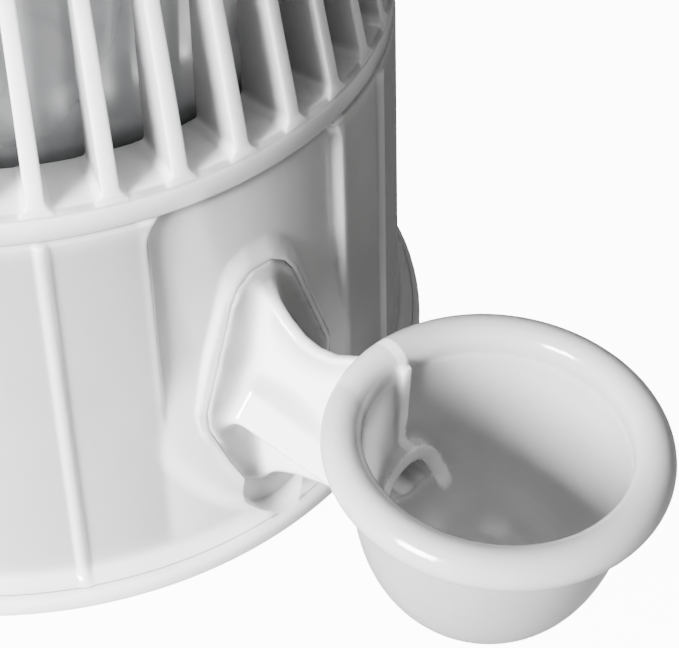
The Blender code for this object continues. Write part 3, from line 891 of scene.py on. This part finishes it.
def cup_field(points):
    """Signed distance to the moulding of cup, arm, plate and spigot, with fillets between them."""
    x, y, z = points.T
    reach = -y
    r = np.hypot(x, y - CUP_Y)
    bowl = outline_distance(r, z, cup_outer_outline())
    hollow = outline_distance(r, z, cup_hollow_outline())

    offset = points - ARM_ROOT
    out = offset @ OUTWARD
    up = offset @ UPWARD
    arm = arm_distance(x, out, up)
    plate = plate_distance(x, out, up)
    rod = np.hypot(x, up - AXIS_UP)
    spigot = np.maximum(rod - SPIGOT_R, between(out, -SPIGOT_LENGTH, PLATE_BACK + PLATE / 2))

    band = outline_distance(x, z, arch(*ARCH_OUTER))
    band = np.maximum(band, between(reach, 0.1355, 0.1440))
    pocket = outline_distance(x, z, arch(*ARCH_INNER))
    pocket = np.maximum(pocket, between(reach, 0.1375, 0.1490))
    pocket = np.maximum(pocket, MOUTH_FLOOR_Z - z)
    web = np.maximum(np.abs(x) - WEB_HALF, between(reach, 0.1355, 0.1408))
    web = np.maximum(web, between(z, 0.055, 0.0800))

    body = soft_min(bowl, arm, 0.0030)
    body = soft_min(body, plate, 0.0050)
    body = np.maximum(body, PLATE_BACK - out)
    body = np.minimum(body, spigot)
    body = soft_max(body, -hollow, 0.0008)
    inside = np.maximum(soft_min(band, web, 0.001), hollow - 0.003)
    body = soft_min(body, inside, 0.0012)
    body = soft_max(body, -pocket, 0.0008)
    channel = np.maximum(rod - CHANNEL_R, between(out, -0.03, 0.050))
    return soft_max(body, -channel, 0.0006)


def surface_net(field, low, high, cell):
    """Points and quads of the surface where a field is zero, with one point per crossed cell."""
    counts = [int(math.ceil((b - a) / cell)) + 1 for a, b in zip(low, high)]
    axes = [a + cell * np.arange(n) for a, n in zip(low, counts)]
    grid = np.stack(np.meshgrid(*axes, indexing="ij"), axis=-1).reshape(-1, 3)
    value = np.concatenate([field(part) for part in np.array_split(grid, 24)]).reshape(counts)
    solid = value < 0
    total = np.zeros([n - 1 for n in counts] + [3])
    hits = np.zeros([n - 1 for n in counts])
    crossings = []
    for axis in range(3):
        near = np.moveaxis(value, axis, 0)
        cross = np.moveaxis(solid, axis, 0)
        cross = cross[:-1] != cross[1:]
        i, j, k = np.nonzero(cross)
        a, b = near[i, j, k], near[i + 1, j, k]
        place = np.stack([i + a / (a - b), j, k], axis=-1)
        inner = (j > 0) & (k > 0) & (j < near.shape[1] - 1) & (k < near.shape[2] - 1)
        i, j, k, place = i[inner], j[inner], k[inner], place[inner]
        order = [axis] + [other for other in range(3) if other != axis]
        back = np.argsort(order)
        place = place[:, back]
        cells = []
        for dj, dk in ((0, 0), (-1, 0), (-1, -1), (0, -1)):
            at = np.stack([i, j + dj, k + dk], axis=-1)[:, back]
            cells.append(at)
            np.add.at(total, tuple(at.T), place)
            np.add.at(hits, tuple(at.T), 1)
        crossings.append(cells)
    index = np.full(hits.shape, -1)
    used = hits > 0
    index[used] = np.arange(used.sum())
    points = total[used] / hits[used][:, None] * cell + np.array(low)
    faces = [np.stack([index[tuple(at.T)] for at in cells], axis=-1) for cells in crossings]
    return points, np.concatenate(faces)


def settle(points, field, rounds=3, step=0.00005):
    """Moves points along the field's slope until they lie on its surface."""
    for _ in range(rounds):
        slope = np.empty_like(points)
        for axis in range(3):
            shift = np.zeros(3)
            shift[axis] = step
            slope[:, axis] = (field(points + shift) - field(points - shift)) / (2 * step)
        size = np.maximum((slope**2).sum(axis=1), 0.25)
        move = field(points)[:, None] * slope / size[:, None]
        points = points - np.clip(move, -CUP_CELL / 2, CUP_CELL / 2)
    return points


def note_arm_and_painted_light(cup):
    """Marks the bowl's inner wall as thick where the arm's web and its mouth stand behind it, and
    paints light into the bowl: its inner wall is lifted lighter and a patch left of the arm, on the
    lit side, is lighter.
    """
    x, y, z = np.array([vert.co for vert in cup.data.vertices]).T
    r = np.hypot(x, y - CUP_Y)
    inner = outline_distance(r, z, cup_hollow_outline()) < BOWL_WALL / 3
    bead = z > BEAD_Z - BEAD
    near = (inner | bead) & (-y > 0.1285) & (-y < 0.1500)
    outer_arch = outline_distance(x, z, arch(*ARCH_OUTER))
    inner_arch = outline_distance(x, z, arch(*ARCH_INNER))
    soft = 0.0005
    band = (1 - smooth_step(outer_arch, -soft, soft)) * smooth_step(inner_arch, -soft, soft)
    band *= 1 - smooth_step(-y, 0.1455, 0.1495)
    web = (1 - smooth_step(np.abs(x), 0.0009, 0.0014)) * smooth_step(z, 0.056, 0.058)
    # Painted light: a lighter patch on the bowl's inner wall on the arm's -X side, where the key
    # light falls from the left.
    painted_light_left = 0.5 * smooth_step(-x, 0.0, 0.001) * (1 - smooth_step(-x, 0.012, 0.020))
    painted_light_left = painted_light_left * smooth_step(z, 0.045, 0.060)
    note = cup.data.attributes["thick"]
    thick = np.empty(len(x), np.float32)
    note.data.foreach_get("value", thick)
    thick = np.where(bead, BEAD_THICK, thick)
    # Painted light: the bowl's inner wall gets one lighter share in place of its measured
    # thickness, lifting its shaded inside.
    thick = np.where(inner & ~bead, BOWL_INSIDE_PAINTED_LIGHT, thick)
    thick = np.where(near, np.maximum.reduce([band, web, painted_light_left, thick]), thick)
    note.data.foreach_set("value", thick.astype(np.float32))


def make_cup(skin):
    margin = 3 * CUP_CELL
    low = [c - margin for c in CUP_LOW]
    high = [c + margin for c in CUP_HIGH]
    points, faces = surface_net(cup_field, low, high, CUP_CELL)
    points = settle(points, cup_field)
    cup = new_object("cup_and_arm", points.tolist(), faces.tolist(), skin)
    turn_outwards(cup)
    smooth(cup, 60)
    note_thickness(cup, blur=4)
    note_arm_and_painted_light(cup)
    move_to(cup, "cup", "milky_plastic", "cup_arm")


# ---------------------------------------------------------------- bottle, cap and valve


def make_bottle(skin):
    """The bottle upside down: its base on top, a groove round its waist and its neck below."""
    r = BOTTLE_HIGH.x
    top = BOTTLE_HIGH.z
    wall, neck, neck_in, mouth = 0.0017, 0.026, 0.0236, BOTTLE_LOW.z
    outside = rounded(
        [
            (0.0005, top - 0.0035, 0),
            (0.050, top - 0.0028, 0.006),
            (0.060, top, 0.006),
            (r, top, 0.012),
            (r, 0.240, 0.004),
            (r - 0.0016, 0.237, 0.0015),
            (r - 0.0016, 0.233, 0.0015),
            (r, 0.230, 0.004),
            (r, 0.104, 0.008),
            (0.064, 0.0985, 0.006),
            (neck, 0.0853, 0.003),
            (neck, mouth, 0.0008),
            (neck_in, mouth, 0.0008),
            (neck_in, 0.0868, 0.003),
            (0.0635, 0.1004, 0.006),
            (r - wall, 0.1060, 0.008),
            (r - wall, 0.2295, 0.004),
            (r - wall - 0.0016, 0.2325, 0.0015),
            (r - wall - 0.0016, 0.2375, 0.0015),
            (r - wall, 0.2405, 0.004),
            (r - wall, top - wall, 0.012),
            (0.0605, top - wall, 0.006),
            (0.0505, top - 0.0028 - wall, 0.006),
            (0.0005, top - 0.0035 - wall, 0),
        ],
        steps=8,
    )
    bottle = turned("reservoir_bottle", outside, skin, steps=192)
    move_to(bottle, "bottle", "clear_plastic", "bottle")


GRIP_COUNT, GRIP_DEPTH = 60, 0.00045


def make_cap(skin):
    """The screw cap, with grip ribs round its skirt."""
    r = CAP_HIGH.x
    inner, hole = r - 0.0028, 0.0065
    plate = CAP_LOW.z + 0.0025
    profile = rounded(
        [
            (inner, CAP_HIGH.z, 0.0005),
            (r, CAP_HIGH.z, 0.0006),
            (r, CAP_LOW.z, 0.0014),
            (hole, CAP_LOW.z, 0.0006),
            (hole, plate, 0.0004),
            (inner, plate, 0.0006),
        ],
        closed=True,
        steps=6,
    )
    angles = even_angles(480)
    rings = circle_rings(profile, angles)
    grip = GRIP_DEPTH * (0.5 - 0.5 * np.cos(angles * GRIP_COUNT))
    share = np.clip((profile[:, 0] - r + 0.0006) / 0.0006, 0, 1)
    scale = 1 - share[:, None] * grip[None] / r
    rings[..., :2] *= scale[..., None]
    cap = ring_body("screw_cap", rings, skin, closed=True)
    move_to(cap, "cap", "white_plastic", "bottle_cap")


def make_stem(skin):
    """Stem and poppet with rounded edges."""
    low, high = STEM_LOW.z, STEM_HIGH.z
    poppet_r = STEM_HIGH.x
    r, poppet = 0.0025, 0.0673
    profile = rounded(
        [
            (0.0003, high, 0),
            (r, high, 0.0009),
            (r, poppet + 0.002, 0.0008),
            (poppet_r, poppet + 0.002, 0.0007),
            (poppet_r, poppet, 0.0006),
            (r, poppet, 0.0002),
            (r, low, 0.0012),
            (0.0003, low, 0),
        ],
        steps=6,
    )
    stem = turned("poppet_stem", profile, skin, steps=64)
    move_to(stem, "valve", "white_plastic", "valve_stem")


def make_spring(skin):
    """A compression spring whose end turns lie close together."""
    wire = 0.00045
    low, high = SPRING_LOW.z + wire, SPRING_HIGH.z - wire
    radius = SPRING_HIGH.x - wire
    turns, per_turn = 6.5, 28
    curve = bpy.data.curves.new("valve_coil_spring", "CURVE")
    curve.dimensions = "3D"
    curve.bevel_depth = wire
    curve.bevel_resolution = 3
    curve.use_fill_caps = True
    spline = curve.splines.new("POLY")
    count = int(turns * per_turn) + 1
    spline.points.add(count - 1)
    for i, point in enumerate(spline.points):
        share = i / (count - 1)
        angle = 2 * math.pi * turns * share
        eased = share - math.sin(2 * math.pi * share) / (2 * math.pi) * 0.55
        height = low + (high - low) * eased
        point.co = (radius * math.cos(angle), radius * math.sin(angle), height, 1.0)
    spring = bpy.data.objects.new("valve_coil_spring", curve)
    bpy.context.scene.collection.objects.link(spring)
    curve.materials.append(skin)
    move_to(spring, "cap", "steel", "valve_spring")


# ---------------------------------------------------------------- stage


def make_camera():
    """Looks down over the arm from the cup's left, rolled slightly."""
    reach = 4.702 * SHOULDER_R
    azimuth, elevation = math.radians(-30.042), math.radians(42.445)
    yaw, pitch, roll = math.radians(45.062), math.radians(-43.75), math.radians(2.508)
    level = reach * math.cos(elevation)
    height = reach * math.sin(elevation)
    place = Vector((level * math.sin(azimuth), -level * math.cos(azimuth), height))
    flat = math.cos(pitch)
    ahead = Vector((math.sin(yaw) * flat, math.cos(yaw) * flat, math.sin(pitch)))
    right = ahead.cross(Vector((0, 0, 1))).normalized()
    above = right.cross(ahead)
    across = right * math.cos(roll) + above * math.sin(roll)
    above = above * math.cos(roll) - right * math.sin(roll)
    data = bpy.data.cameras.new("camera")
    data.sensor_width = 36.0
    data.lens = 82.1
    data.clip_start = 0.01
    camera = bpy.data.objects.new("camera", data)
    turn = Matrix((across, above, -ahead)).transposed().to_4x4()
    camera.matrix_world = Matrix.Translation(place) @ turn
    bpy.context.scene.collection.objects.link(camera)
    bpy.context.scene.camera = camera


def area_light(name, place, target, size, power):
    data = bpy.data.lights.new(name, "AREA")
    data.shape = "RECTANGLE"
    data.size, data.size_y = size
    data.energy = power
    light = bpy.data.objects.new(name, data)
    light.location = place
    light.rotation_euler = (Vector(target) - Vector(place)).to_track_quat("-Z", "Y").to_euler()
    bpy.context.scene.collection.objects.link(light)


def seen_brighter(tree, seen, felt):
    """A strength that is one value straight to the camera and another to all other rays."""
    path = tree.nodes.new("ShaderNodeLightPath")
    made = node(tree, "ShaderNodeMapRange", To_Min=felt, To_Max=seen)
    tree.links.new(path.outputs["Is Camera Ray"], made.inputs["Value"])
    return made.outputs["Result"]


def make_stage():
    made, tree, shader = finish_material(
        "pale_floor",
        Base_Color=(0.20, 0.20, 0.20, 1.0),
        Roughness=0.9,
        Emission_Color=(1.0, 1.0, 1.0, 1.0),
    )
    tree.links.new(seen_brighter(tree, SEEN_WHITE, 0.10), shader.inputs["Emission Strength"])
    size = FLOOR_SIZE
    corners = [(-size, -size), (size, -size), (size, size), (-size, size)]
    floor = new_object("floor", [(x, y, -0.0002) for x, y in corners], [(0, 1, 2, 3)], made)
    world = bpy.data.worlds.new("studio")
    world.use_nodes = True
    back = world.node_tree.nodes["Background"]
    back.inputs["Color"].default_value = (1.0, 1.0, 1.0, 1.0)
    strength = seen_brighter(world.node_tree, SEEN_WHITE, WORLD_LIGHT)
    world.node_tree.links.new(strength, back.inputs["Strength"])
    bpy.context.scene.world = world
    area_light("key", (-1.5, -0.18, 0.70), (0, -0.05, 0.08), (0.6, 0.6), KEY_LIGHT)
    area_light("top", (-0.5, -0.2, 1.6), (0, 0, 0.1), (0.7, 0.7), TOP_LIGHT)


def main():
    milky = milky_plastic(thin=0.36, thick=0.80, transmission=0.28)
    white = moulded_white()
    rubber = moulded_rubber()
    make_camera()
    make_stage()
    make_tub(milky)
    make_cage(milky)
    make_cup(milky)
    make_bottle(clear_plastic())
    make_cap(white)
    make_stem(white)
    make_spring(drawn_steel())
    shading = smooth_by_angle(40)
    for name, skin in (
        ("valve_guide", white),
        ("cap_gasket", rubber),
        ("valve_seal", rubber),
        ("port_gasket", rubber),
    ):
        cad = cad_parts[name]
        cad.material_slots[0].material = skin
        cad.modifiers.new("Smooth by angle", "NODES").node_group = shading


main()
